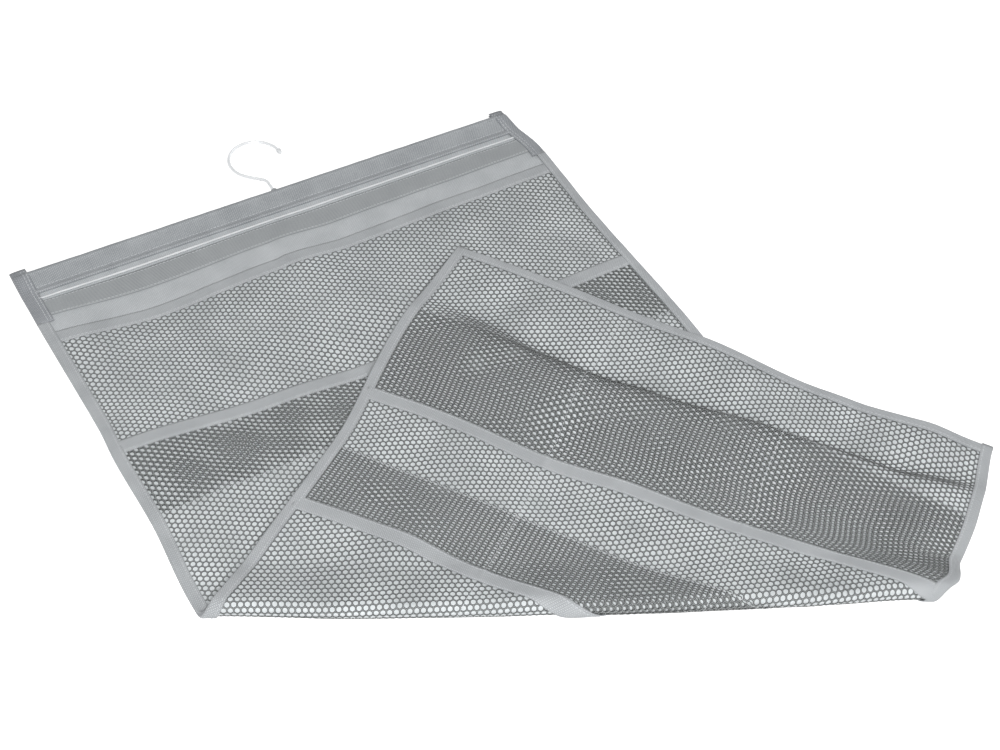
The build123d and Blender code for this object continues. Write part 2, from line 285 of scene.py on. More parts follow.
    def lower_lift(self, u: Array, v: Array) -> Array:
        """Gentle waves of the lower sheet, which never dips below where it lies.

        Args:
            u, v: places across and down the cloth.

        Returns:
            Height over the level sheet.
        """
        waves = 0.5 + 0.5 * ripple(u, v, 0.16, 3)
        inside = smooth_step(v / 0.10 - 0.5)
        sides = smooth_step(np.minimum(u, self.cut.width - u) / 0.05)
        return 1.2 * MM * np.clip(waves, 0, 1) * inside * (0.3 + 0.7 * sides)

    def flap_lift(self, u: Array, v: Array, beside: Array) -> Array:
        """Waves of the flap, its long crease above the hem and its fall beside the lower sheet.

        Args:
            u, v: places across and down the cloth.
            beside: how far each place lies past the lower sheet's right edge.

        Returns:
            Height over the level flap.
        """
        lift = 1.3 * MM * ripple(u, v, 0.13, 11) + 0.6 * MM * ripple(u, v, 0.06, 5)
        size, past = self.ridge(u, v)
        up, down = smooth_step(past / self.crease_near + 1), 1 - smooth_step(past / (self.crease_far * 0.85))
        lift = lift + up * down * size - 0.22 * size * bump_at(past, self.crease_far, 0.010)
        lift = lift + 3.4 * MM * bump_at(u, 0.402, 0.020) * smooth_step((v - 0.69) / 0.05)
        lift = lift + 2.0 * MM * bump_at(u, 0.425, 0.016) * bump_at(v, 0.665, 0.022)
        fall = (self.flap_rest - self.flap_down) * smooth_step(beside / self.fall_reach)
        return np.maximum(lift, -self.deepest) - fall

    def points(self, u: Array, v: Array, h: Array) -> Array:
        """Places in the row frame.

        Args:
            u, v: places across and down the cloth.
            h: heights off the mid-plane.

        Returns:
            An array of points, one row each.
        """
        u, v, h = (np.asarray(x, float).ravel() for x in np.broadcast_arrays(u, v, h))
        flat_u, flat_v = self.wander(u, v)
        c, s, left = math.cos(self.angle), math.sin(self.angle), self.cut.fold_left
        along, across = flat_u * c + (flat_v - left) * s, (flat_v - left) * c - flat_u * s
        run = across - self.start
        turn = np.interp(run, self.lengths, self.turns)
        bent = self.start + np.interp(run, self.lengths, self.plans)
        plan = np.where(run <= 0, across, np.where(run >= self.lengths[-1], -across, bent))
        plan = plan + eased(self.fold_sway, along) * (1 - smooth_step(np.abs(plan - self.start) / self.sway_reach))
        plan = plan - np.sin(turn) * h
        height = np.interp(run, self.lengths, self.heights) + np.cos(turn) * h
        plan_u, plan_v = along * c - plan * s, left + along * s + plan * c
        past = np.clip(turn / math.pi, 0, 1)
        lift = self.lower_lift(u, v) * (1 - past)
        lift = lift + self.flap_lift(u, v, plan_u - self.cut.width) * smooth_step(past * 2 - 1)
        z, ease = self.origin.z + height + lift, self.floor_ease
        z = np.where(z < ease, ease * np.exp((np.minimum(z, ease) - ease) / ease), z)
        return np.stack([self.origin.x + plan_u, self.origin.y - plan_v, z], axis=1)


# ---- mesh making


def new_piece(name: str, points: Array, faces: list, uv: Array | None = None,
              marks: Array | None = None) -> bpy.types.Object:
    """Makes a smooth mesh object and links it to the scene.

    Args:
        name: the piece's name.
        points: one row for each vertex, in the row frame.
        faces: vertex numbers of each face.
        uv: cloth coordinates of each vertex, for the weave.
        marks: how much painted shade each vertex's finish shows, 0 on a strand's crown and 1 at its side.

    Returns:
        The new object.
    """
    mesh = bpy.data.meshes.new(name)
    mesh.from_pydata(points.tolist(), [], faces)
    mesh.validate()
    mesh.polygons.foreach_set("use_smooth", [True] * len(mesh.polygons))
    if uv is not None:
        corner = np.zeros(len(mesh.loops), np.int32)
        mesh.loops.foreach_get("vertex_index", corner)
        mesh.uv_layers.new(name=CLOTH_UV).data.foreach_set("uv", uv.astype(np.float32)[corner].ravel())
    if marks is not None:
        mesh.attributes.new(STRAND_SHADE_ATTR, "FLOAT", "POINT").data.foreach_set("value", marks.astype(np.float32))
    piece = bpy.data.objects.new(name, mesh)
    bpy.context.scene.collection.objects.link(piece)
    return piece


def tube_faces(rings: int, sides: int) -> list[list[int]]:
    """Faces of a closed section carried through a number of rings, with both ends closed.

    Args:
        rings: how many copies of the section there are.
        sides: points in each section.

    Returns:
        Faces as lists of vertex numbers.
    """
    ring, side = np.meshgrid(np.arange(rings - 1), np.arange(sides), indexing="ij")
    a, b = ring * sides + side, ring * sides + (side + 1) % sides
    walls = np.stack([a, b, b + sides, a + sides], axis=-1).reshape(-1, 4).tolist()
    return [*walls, list(range(sides))[::-1], [(rings - 1) * sides + i for i in range(sides)]]


def strip_section(low: float, high: float, bottom: float, top: float, steps: int, soft: float) -> Array:
    """Closed outline of a thin strip with softened long edges.

    Args:
        low, high: the edges' places across the strip.
        bottom, top: heights of its two sides.
        steps: points on each side.
        soft: width over which the edges round off.

    Returns:
        Rows of place and height, going round the outline.
    """
    places = low + (high - low) * np.linspace(0, 1, steps)
    edge = np.minimum(places - low, high - places) / soft
    share = np.sqrt(np.clip(1 - (1 - np.clip(edge, 0, 1)) ** 2, 0.04, 1))
    mid, half = (bottom + top) / 2, (top - bottom) / 2
    upper = np.stack([places, mid + half * share], axis=1)
    under = np.stack([places[::-1], mid - half * share[::-1]], axis=1)
    return np.concatenate([upper, under])


def folded_tape(reach: float, corner: float = 0.0015, inside: float = 0.0007, wall: float = 0.74) -> Array:
    """Closed outline of a tape folded round an edge.

    Args:
        reach: how far the tape comes in from the edge.
        corner: radius of its rounded fold.
        inside: where the inner side of the fold begins.
        wall: the inner side's share of the outer height.

    Returns:
        Rows of place in from the edge and share of the half height.
    """
    arc, flat = np.linspace(0, math.pi / 2, 5)[1:], np.linspace(reach, corner, 9)
    bend = np.stack([corner - corner * np.sin(arc), np.cos(arc)], axis=1)
    front = np.concatenate([np.stack([flat, np.ones(len(flat))], axis=1), bend])
    shell = np.concatenate([front, front[::-1][1:] * (1, -1)])
    inner = np.stack([np.maximum(shell[::-1, 0], inside), shell[::-1, 1] * wall], axis=1)
    return np.concatenate([shell, inner])


@dataclass
class Tailor:
    """Makes pieces of cloth on one drape."""

    drape: Drape
    stitch_shape: Curve = ((-0.5, -0.5), (-0.36, 0.25), (0.0, 0.42), (0.36, 0.25), (0.5, -0.5))

    def carry(self, name: str, section: Array, stations: Array, along_u: bool = True,
              rise: Rise | None = None) -> bpy.types.Object:
        """Carries a closed section along the cloth.

        Args:
            name: the piece's name.
            section: rows of place across the run and height.
            stations: places along the run.
            along_u: whether the run goes across the cloth, and not down it.
            rise: extra height at a cloth place.

        Returns:
            The new piece.
        """
        run = np.repeat(stations, len(section))
        side, height = np.tile(section, (len(stations), 1)).T
        u, v = (run, side) if along_u else (side, run)
        if rise is not None:
            height = height + rise(u, v)
        points = self.drape.points(u, v, height)
        return new_piece(name, points, tube_faces(len(stations), len(section)), np.stack([u, v], axis=1))

    def stitches(self, name: str, rows: list[Row], height: Rise, pitch: float = 0.0031, share: float = 0.74,
                 thick: float = 0.00042) -> bpy.types.Object:
        """Rows of sewn stitches, each a short rounded thread that dips into the cloth at its ends.

        Args:
            name: the piece's name.
            rows: start and end of each row, as cloth places.
            height: height of the cloth's surface at a place.
            pitch: distance from one stitch to the next.
            share: part of the pitch that the thread shows.
            thick: the thread's diameter.

        Returns:
            One piece that holds every stitch.
        """
        sides = 6
        place, sink = np.array(self.stitch_shape).T[:, :, None]
        around = np.linspace(0, math.tau, sides, endpoint=False)
        side = np.where(np.abs(place) < 0.5, 1.0, 0.4) * np.cos(around) * thick / 2
        up = np.sin(around) * thick / 2 * 0.8 + sink * thick
        sewn = []
        for (u1, v1), (u2, v2) in rows:
            length = math.hypot(u2 - u1, v2 - v1)
            count = max(1, int(length / pitch))
            du, dv = (u2 - u1) / length, (v2 - v1) / length
            centre = (np.arange(count) + 0.5) * length / count
            at = centre[:, None, None] + place * pitch * share
            thread = np.broadcast_arrays(u1 + du * at - dv * side, v1 + dv * at + du * side, up)
            sewn.append(np.stack(thread, axis=-1))
        u, v, h = np.concatenate(sewn).reshape(-1, 3).T
        level = height(u, v)
        points = self.drape.points(u, v, level + (1.0 if np.mean(level) >= 0 else -1.0) * h)
        one = tube_faces(len(place), sides)
        starts = range(0, len(u), len(place) * sides)
        return new_piece(name, points, [[start + corner for corner in face] for start in starts for face in one])


# ---- finishes


@dataclass
class Graph:
    """Short hand for making and linking shader nodes."""

    tree: bpy.types.NodeTree

    def node(self, kind: str, values: dict | None = None, **settings: object) -> bpy.types.Node:
        """Makes a node.

        Args:
            kind: Blender's name for it.
            values: input values by number or name.
            **settings: its other properties.

        Returns:
            The new node.
        """
        made = self.tree.nodes.new(kind)
        for key, setting in settings.items():
            setattr(made, key, setting)
        for key, value in (values or {}).items():
            made.inputs[key].default_value = value
        return made

    def math(self, operation: str, *given: object) -> object:
        """Makes a Math node.

        Args:
            operation: what it does.
            *given: sockets or numbers for its inputs.

        Returns:
            Its output.
        """
        made = self.node("ShaderNodeMath", operation=operation)
        for target, value in zip(made.inputs, given):
            if isinstance(value, (int, float)):
                target.default_value = value
            else:
                self.link(value, target)
        return made.outputs[0]

    def link(self, output: object, target: object) -> None:
        """Links two sockets."""
        self.tree.links.new(output, target)

    def seen(self) -> object:
        """1 on the rays that show the surroundings, and 0 on those that light the object.

        Returns:
            The socket that gives it.
        """
        ray = self.node("ShaderNodeLightPath").outputs
        direct = self.math("MAXIMUM", ray["Is Camera Ray"], ray["Is Glossy Ray"])
        return self.math("MAXIMUM", direct, ray["Is Transmission Ray"])


def new_group(name: str, place: str, values: dict[str, float], result: str) -> tuple[Graph, object, object]:
    """Starts a node group that reads a place and puts out one value.

    Args:
        name: the group's name.
        place: name of its vector input.
        values: names and defaults of its number inputs.
        result: name of its output.

    Returns:
        The group's graph, its inputs by name and the socket that takes its result.
    """
    g = Graph(bpy.data.node_groups.new(name, "ShaderNodeTree"))
    sockets = g.tree.interface
    sockets.new_socket(name=place, in_out="INPUT", socket_type="NodeSocketVector")
    for key, value in values.items():
        sockets.new_socket(name=key, in_out="INPUT", socket_type="NodeSocketFloat").default_value = value
    sockets.new_socket(name=result, in_out="OUTPUT", socket_type="NodeSocketFloat")
    return g, g.node("NodeGroupInput").outputs, g.node("NodeGroupOutput").inputs[result]


def weave_group() -> bpy.types.NodeTree:
    """Plain weave from cloth coordinates: threads that pass over and under each other.

    Returns:
        The node group.
    """
    threads = {"Warp per metre": 1400.0, "Weft per metre": 1400.0}
    g, given, result = new_group("PlainWeave", "Cloth", threads, "Height")
    parts = g.node("ShaderNodeSeparateXYZ")
    g.link(given["Cloth"], parts.inputs[0])
    turns = [g.math("MULTIPLY", part, given[key]) for part, key in zip(parts.outputs, threads)]
    over = g.math("MULTIPLY", *(g.math("SINE", g.math("MULTIPLY", turn, math.pi)) for turn in turns))
    side = g.math("ABSOLUTE", over)
    g.link(g.math("ADD", g.math("MULTIPLY", over, 0.3), g.math("MULTIPLY", side, 0.7)), result)
    return g.tree


def rib_group() -> bpy.types.NodeTree:
    """Fine ribs that run along the cloth's width.

    Returns:
        The node group.
    """
    g, given, result = new_group("LengthwiseRibs", "Cloth", {"Ribs per metre": 600.0}, "Height")
    parts = g.node("ShaderNodeSeparateXYZ")
    g.link(given["Cloth"], parts.inputs[0])
    turns = g.math("MULTIPLY", parts.outputs[1], given["Ribs per metre"])
    g.link(g.math("MULTIPLY_ADD", g.math("SINE", g.math("MULTIPLY", turns, math.tau)), 0.5, 0.5), result)
    return g.tree


def mottle_group() -> bpy.types.NodeTree:
    """Uneven dye and lint: soft patches with fine specks over them.

    Returns:
        The node group.
    """
    scales = {"Patch scale": 42.0, "Speck scale": 900.0}
    g, given, result = new_group("Mottle", "Place", scales, "Value")
    layers = []
    for key, detail, rough, share in zip(scales, (3.0, 2.0), (0.55, 0.6), (0.55, 0.45)):
        noise = g.node("ShaderNodeTexNoise", {"Detail": detail, "Roughness": rough})
        g.link(given["Place"], noise.inputs["Vector"])
        g.link(given[key], noise.inputs["Scale"])
        layers.append(g.math("MULTIPLY", noise.outputs[0], share))
    g.link(g.math("ADD", *layers), result)
    return g.tree


@dataclass
class Looks:
    """Node groups that the finishes share, each made once."""

    weave: bpy.types.NodeTree = field(default_factory=weave_group)
    ribs: bpy.types.NodeTree = field(default_factory=rib_group)
    mottle: bpy.types.NodeTree = field(default_factory=mottle_group)


class Surface(Enum):
    """Kinds of cloth relief."""

    WOVEN = "woven"
    RIBBED = "ribbed"
    MATTED = "matted"


def linear(*levels: int) -> tuple[float, float, float, float]:
    """Colour written in display levels, as shader values.

    Args:
        *levels: red, green and blue, from 0 to 255.

    Returns:
        The colour with its alpha.
    """
    values = []
    for level in levels:
        share = level / 255
        values.append(share / 12.92 if share <= 0.04045 else ((share + 0.055) / 1.055) ** 2.4)
    return (*values, 1.0)


@dataclass(frozen=True)
class Finish:
    """A finish that goes from one tone to another, with the nodes that every finish has."""

    name: str
    first: Rgb
    second: Rgb
    rough: tuple[float, float] = (0.4, 0.65)
    depth: float = 0.00002
    bump: float = 0.3
    tones_at: tuple[float, float] = (0.3, 0.7)
    scales: tuple[float, float] = (42.0, 900.0)

    def sockets(self) -> dict[str, float]:
        """Plain values of the shader's own sockets."""
        return {}

    def values(self, g: Graph, looks: Looks, mottle: object) -> tuple[object, object, object]:
        """Sockets that drive the tone, the roughness and the bump's height."""
        return mottle, mottle, mottle

    def make(self, looks: Looks) -> bpy.types.Material:
        """Builds the material.

        Args:
            looks: the shared node groups.

        Returns:
            A new material.
        """
        material = bpy.data.materials.new(self.name)
        material.use_nodes = True
        g = Graph(material.node_tree)
        shader = g.tree.nodes["Principled BSDF"].inputs
        for key, value in self.sockets().items():
            shader[key].default_value = value
        scales = dict(zip(("Patch scale", "Speck scale"), self.scales))
        mottle = g.node("ShaderNodeGroup", scales, node_tree=looks.mottle)
        g.link(g.node("ShaderNodeTexCoord").outputs["Object"], mottle.inputs["Place"])
        tone, shade, height = self.values(g, looks, mottle.outputs["Value"])
        ramp = g.node("ShaderNodeValToRGB")
        for stop, at, levels in zip(ramp.color_ramp.elements, self.tones_at, (self.first, self.second)):
            stop.position, stop.color = at, linear(*levels)
        rough = g.node("ShaderNodeMapRange", dict(zip(("To Min", "To Max"), self.rough)))
        bump = g.node("ShaderNodeBump", {"Strength": self.bump, "Distance": self.depth})
        for value, made, entry, target in ((tone, ramp, "Fac", "Base Color"), (shade, rough, "Value", "Roughness"),
                                           (height, bump, "Height", "Normal")):
            g.link(value, made.inputs[entry])
            g.link(made.outputs[0], shader[target])
        return material


@dataclass(frozen=True)
class ClothFinish(Finish):
    """A cloth's tones and relief, with a little sheen."""

    rough: tuple[float, float] = (0.90, 0.74)
    depth: float = 0.00018
    bump: float = 0.6
    tones_at: tuple[float, float] = (0.2, 0.64)
    surface: Surface = Surface.WOVEN
    threads: float = 1050.0

    def sockets(self) -> dict[str, float]:
        """Plain values of the shader's own sockets."""
        return {"Sheen Weight": 0.1, "Sheen Roughness": 0.5, "Specular IOR Level": 0.25}

    def values(self, g: Graph, looks: Looks, mottle: object) -> tuple[object, object, object]:
        """Weave or ribs with the mottle over them.

        Args:
            g: the material's graph.
            looks: the shared node groups.
            mottle: the mottle's value.

        Returns:
            Sockets for the tone, the roughness and the bump's height.
        """
        if self.surface is Surface.MATTED:
            return mottle, mottle, mottle
        relief = g.node("ShaderNodeGroup", node_tree=looks.weave if self.surface is Surface.WOVEN else looks.ribs)
        g.link(g.node("ShaderNodeUVMap", uv_map=CLOTH_UV).outputs[0], relief.inputs["Cloth"])
        for entry in relief.inputs[1:]:
            entry.default_value = self.threads
        height = relief.outputs["Height"]
        shade = g.math("ADD", g.math("MULTIPLY", height, 0.55), g.math("MULTIPLY", mottle, 0.45))
        return shade, shade, height


@dataclass(frozen=True)
class StrandFinish(Finish):
    """Knitted mesh: pale along each strand's crown, with painted shade on its sides and in the crease's gather."""

    rough: tuple[float, float] = (0.5, 0.7)
    depth: float = 0.00012
    bump: float = 0.5
    tones_at: tuple[float, float] = (0.36, 0.56)

    def sockets(self) -> dict[str, float]:
        """Plain values of the shader's own sockets."""
        return {"Sheen Weight": 0.1, "Specular IOR Level": 0.35}

    def values(self, g: Graph, looks: Looks, mottle: object) -> tuple[object, object, object]:
        """The tone follows the painted shade on the strand's sides and in the crease, a little unevenly."""
        across = g.node("ShaderNodeAttribute", attribute_name=STRAND_SHADE_ATTR).outputs["Fac"]
        return g.math("ADD", across, g.math("MULTIPLY_ADD", mottle, 0.4, -0.2)), mottle, mottle


@dataclass(frozen=True)
class HardFinish(Finish):
    """A metal or plastic finish with fine scratches and haze."""

    scales: tuple[float, float] = (60.0, 1600.0)
    metallic: float = 0.0
    coat: float = 0.0

    def sockets(self) -> dict[str, float]:
        """Plain values of the shader's own sockets."""
        return {"Metallic": self.metallic, "Coat Weight": self.coat}


FINISHES: dict[str, Finish] = {
    "edge_tape": ClothFinish("WovenTape", (142, 145, 148), (196, 199, 201)),
    "end_cloth": ClothFinish("DarkEndCloth", (112, 115, 119), (182, 185, 189)),
    "sleeve_cloth": ClothFinish("SleeveCloth", (122, 126, 129), (188, 191, 194)),
    "grey_cloth": ClothFinish("PlainCloth", (152, 156, 159), (212, 215, 217)),
    "closure_tape": ClothFinish("RibbedClosure", (122, 126, 128), (168, 171, 173), surface=Surface.RIBBED,
                                threads=760.0),
    "pale_lining": ClothFinish("PaleLining", (182, 186, 188), (217, 221, 223), depth=0.0002,
                               surface=Surface.MATTED),
    # HexMesh's dark second tone is painted shade on the strands' sides and in the crease's gather.
    "hex_mesh": StrandFinish("HexMesh", (140, 144, 144), (18, 20, 20)),
    "thread": ClothFinish("Thread", (174, 177, 180), (208, 211, 213), (0.68, 0.52),
                          surface=Surface.MATTED),
    "white_piping": HardFinish("WhitePiping", (198, 201, 203), (226, 228, 230), (0.272, 0.442), coat=0.2),
    "steel_wire": HardFinish("BrightWire", (206, 208, 210), (234, 236, 238), (0.192, 0.312), metallic=0.7,
                             coat=0.1),
    "tip_plastic": HardFinish("TipPlastic", (196, 199, 201), (222, 224, 226), (0.24, 0.39), coat=0.2),
    "bar_paint": HardFinish("BarPaint", (150, 153, 156), (176, 178, 181), (0.36, 0.585)),
    "cap_plastic": HardFinish("CapPlastic", (60, 61, 63), (84, 86, 88), (0.44, 0.715)),
}
SEAM_NODES = {Face.FRONT: "front_divider_seam", Face.BACK: "back_divider_seams"}
HIDDEN = {"shank_stop_head": "steel_wire", "shank_washer": "steel_wire", "hanger_bar": "bar_paint",
          "bar_end_cap_left": "cap_plastic", "bar_end_cap_right": "cap_plastic"}


@dataclass
class Wardrobe:
    """Every material by name, made when it is first used."""

    looks: Looks = field(default_factory=Looks)
    made: dict[str, bpy.types.Material] = field(default_factory=dict)

    def dress(self, piece: bpy.types.Object, finish: str) -> None:
        """Gives an object its finish.

        Args:
            piece: the object.
            finish: a key of FINISHES.
        """
        if finish not in self.made:
            self.made[finish] = FINISHES[finish].make(self.looks)
        piece.data.materials.clear()
        piece.data.materials.append(self.made[finish])


# ---- sub-assemblies


@dataclass
class SubAssembly:
    """What every part of the organizer builds with."""

    cut: Cut
    drape: Drape
    tailor: Tailor
    wardrobe: Wardrobe
    body: str = "organizer"

    def keep(self, piece: bpy.types.Object, finish: str, *nodes: str) -> bpy.types.Object:
        """Dresses a piece, makes it ride and hides the CAD nodes that it stands for.

        Args:
            piece: the object.
            finish: a key of FINISHES.
            *nodes: CAD nodes that the piece replaces.

        Returns:
            The same piece.
        """
        self.wardrobe.dress(piece, finish)
        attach(piece, self.body)
        if nodes:
            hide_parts(*nodes)
        LOG.info("%s: %d faces", piece.name, len(piece.data.polygons))
        return piece

    def sew(self, name: str, rows: list[Row], height: Rise, *nodes: str, **sizes: float) -> None:
        """Sews rows of stitches and keeps them as one piece."""
        self.keep(self.tailor.stitches(name, rows, height, **sizes), "thread", *nodes)


@dataclass
class MiddlePanel(SubAssembly):
    """The pale opaque cloth between the two faces."""

    step: float = 0.003

    def build(self) -> None:
        """Makes the panel as one thin closed sheet."""
        cut, edge = self.cut, 1.2 * MM
        top, bottom = cut.sleeve - 2 * MM, cut.length - edge
        across = int(cut.width / self.step)
        section = strip_section(edge, cut.width - edge, -cut.panel / 2, cut.panel / 2, across, 0.4 * MM)
        stations = np.linspace(top, bottom, int(cut.length / self.step))
        piece = self.tailor.carry("middle_panel_cloth", section, stations, along_u=False)
        self.keep(piece, "pale_lining", "middle_panel")


@dataclass
class PocketRow(SubAssembly):
    """One row of mesh pockets on one face: its mesh, its mouth tape and their seams."""

    face: Face = Face.FRONT
    row: int = 0
    pitch: float = 0.0045
    strand: float = 0.00108
    ridge: float = 0.00045
    lap_bulge: float = 0.0024
    mouth_gape: float = 0.0013
    tuck_rise: float = 0.0009
    tuck_width: float = 0.0028

    def bay(self, u: Array) -> Array:
        """How free the mesh is between its seams: 0 at a seam and 1 in the middle of a pocket.

        Args:
            u: places across the cloth.

        Returns:
            The share at each place.
        """
        splits = np.array(self.cut.splits(self.face))
        i = np.clip(np.searchsorted(splits, u, side="right") - 1, 0, len(splits) - 2)
        t = (u - splits[i]) / (splits[i + 1] - splits[i])
        return np.clip(4 * t * (1 - t), 0, 1) ** 0.8

    def showing(self, u: Array, v: Array) -> Array:
        """1 where this face of the cloth looks up, and 0 where it lies underneath."""
        past = smooth_step(self.drape.past_fold(u, v) * 2 - 0.5)
        return past if self.face is Face.BACK else 1 - past

    def title(self, kind: str) -> str:
        """Name of one of the row's pieces, with its face and number."""
        return f"{self.face.label}_{kind}_{self.row + 1}"

    @property
    def behind(self) -> float:
        """Where the row behind this one ends."""
        return self.cut.feet[self.row - 1] if self.row else self.cut.yoke_end

    @property
    def last(self) -> bool:
        """Whether this is the row at the hem."""
        return self.row == len(self.cut.mouths) - 1

    def layer_height(self, u: Array, v: Array) -> Array:
        """Height of the middle of the mesh, without its sign.

        Args:
            u, v: places across and down the cloth.

        Returns:
            Height off the mid-plane.
        """
        cut = self.cut
        mouth = cut.mouths[self.row] + cut.tape
        lap = 1 - smooth_step((v - self.behind - 1 * MM) / (4 * MM))
        t = np.clip((v - mouth) / max(self.behind - mouth, 20 * MM), 0, 1)
        free = self.bay(u) * self.showing(u, v)
        bulge = self.lap_bulge * np.sin(math.pi * t) * (0.55 + 0.45 * ripple(u, v, 0.05, 21 + self.row))
        gape = self.mouth_gape * np.exp(-np.abs(v - mouth) / (22 * MM)) * (0.7 + 0.3 * ripple(u, v, 0.09, 4))
        lapped = free * (bulge + gape) * (lap if self.row else 0.35)
        loose = free * 0.45 * MM * (1 + ripple(u, v, 0.045, 31 + self.row)) * (1 - lap)
        return cut.panel / 2 + cut.ply * (0.62 + lap) + np.maximum(lapped, 0) + np.maximum(loose, 0)

    def mesh(self) -> None:
        """Makes the open hexagonal mesh: each hole is ringed by strands with a raised middle."""
        cut, drape, name = self.cut, self.drape, self.title("pocket")
        start = cut.mouths[self.row] + cut.tape * 0.35
        foot = cut.feet[self.row] - (4 * MM if self.last else 0)
        column = self.pitch * math.sqrt(3) / 2
        phase = self.pitch * (0.31 * self.row + (0.5 if self.face is Face.BACK else 0.0))
        cols, rows = np.arange(int((cut.width - 6 * MM) / column)), np.arange(int((foot - start) / self.pitch))
        i, j = (x.ravel() for x in np.meshgrid(cols, rows, indexing="ij"))
        u0 = (3.5 * MM + (i + 0.5) * column + phase * 0.4)[:, None]
        v0 = (foot - (j + 0.5 + 0.5 * (i % 2)) * self.pitch)[:, None]
        corner, step = np.arange(6), np.arange(12)
        reach, hole = self.pitch / math.sqrt(3), (self.pitch - self.strand) / 2
        open_to = hole * np.where(step % 2 == 0, 1.08, 1.0) * (1 - 0.4 * drape.drawn_in(u0, v0))
        turn, around = corner * math.pi / 3, step * math.pi / 6
        rim = np.stack([(u0 + reach * np.cos(turn)).ravel(), (v0 + reach * np.sin(turn)).ravel()])
        inner = np.stack([(u0 + open_to * np.cos(around)).ravel(), (v0 + open_to * np.sin(around)).ravel()])
        keys = np.round(rim.T * 1e5).astype(np.int64)
        _, first, back = np.unique(keys, axis=0, return_index=True, return_inverse=True)
        u, v = np.concatenate([rim[:, first], inner], axis=1)
        side = (np.arange(len(u)) >= len(first)).astype(float)
        height = (self.layer_height(u, v) + self.ridge * (0.5 - side)) * self.face.value
        on_rim = np.ravel(back).reshape(-1, 6)
        hole_at = len(first) + np.arange(len(u0))[:, None] * 12
        low, mid, high = hole_at + 2 * corner, hole_at + 2 * corner + 1, hole_at + (2 * corner + 2) % 12
        rings = np.stack([on_rim, np.roll(on_rim, -1, axis=1), high, mid, low], axis=-1).reshape(-1, 5)
        # Painted shade: each strand darkens towards its sides, and more of it darkens where the crease gathers the
        # mesh.
        marks = side + 0.3 * drape.drawn_in(u, v)
        faces = rings[:, ::self.face.value].tolist()
        piece = new_piece(f"{name}_mesh", drape.points(u, v, height), faces, marks=marks)
        self.keep(piece, "hex_mesh", name)

    def tape_rise(self, u: Array, v: Array) -> Array:
        """How far the mouth tape stands off, with the mesh that it edges and a tuck at each divider.

        Args:
            u, v: places across and down the cloth.

        Returns:
            Extra height, without its sign.
        """
        cut, mouth = self.cut, self.cut.mouths[self.row] + self.cut.tape
        level = self.layer_height(u, np.full_like(u, mouth + 1 * MM))
        lean = 1 + 0.25 * smooth_step((mouth - v) / cut.tape)
        tucks = sum(bump_at(u, at, self.tuck_width) for at in dict(cut.dividers)[self.face])
        return (level - cut.panel / 2 - cut.ply * 1.6) * lean + self.tuck_rise * tucks * self.showing(u, v)

    def tape(self) -> None:
        """Makes the tape folded over the row's mouth, and its topstitching."""
        cut, sign, name = self.cut, self.face.value, self.title("mouth_tape")
        top, outer = cut.mouths[self.row], cut.outer - 0.05 * MM
        section = strip_section(top, top + cut.tape, cut.single + 0.1 * MM, outer, 11, 1.2 * MM) * (1, sign)
        stations = cut.across(cut.binding - 5 * MM, 300)
        piece = self.tailor.carry(f"{name}_band", section, stations, rise=lambda u, v: sign * self.tape_rise(u, v))
        self.keep(piece, "edge_tape", name)
        self.sew(f"{name}_stitches", [cut.line(cut.binding, top + cut.tape - 2 * MM)],
                 lambda u, v: sign * (self.tape_rise(u, v) + outer))

    def seams(self) -> None:
        """Makes the stitch rows that part the pockets and close the foot of the row behind."""
        cut, sign = self.cut, self.face.value
        top = cut.mouths[self.row] + cut.tape + 1 * MM
        end = cut.length - cut.binding if self.last else cut.mouths[self.row + 1]
        rows = [((u, top), (u, end)) for u in dict(cut.dividers)[self.face]]
        if self.row:
            rows.append(cut.line(cut.binding, self.behind - 1.5 * MM))
        self.sew(self.title("seams"), rows, lambda u, v: sign * (self.layer_height(u, v) + self.ridge * 0.4),
                 *((SEAM_NODES[self.face],) if self.last else ()), pitch=2.6 * MM, thick=0.5 * MM)

    def build(self) -> None:
        """Makes the row."""
        self.mesh()
        self.tape()
        self.seams()


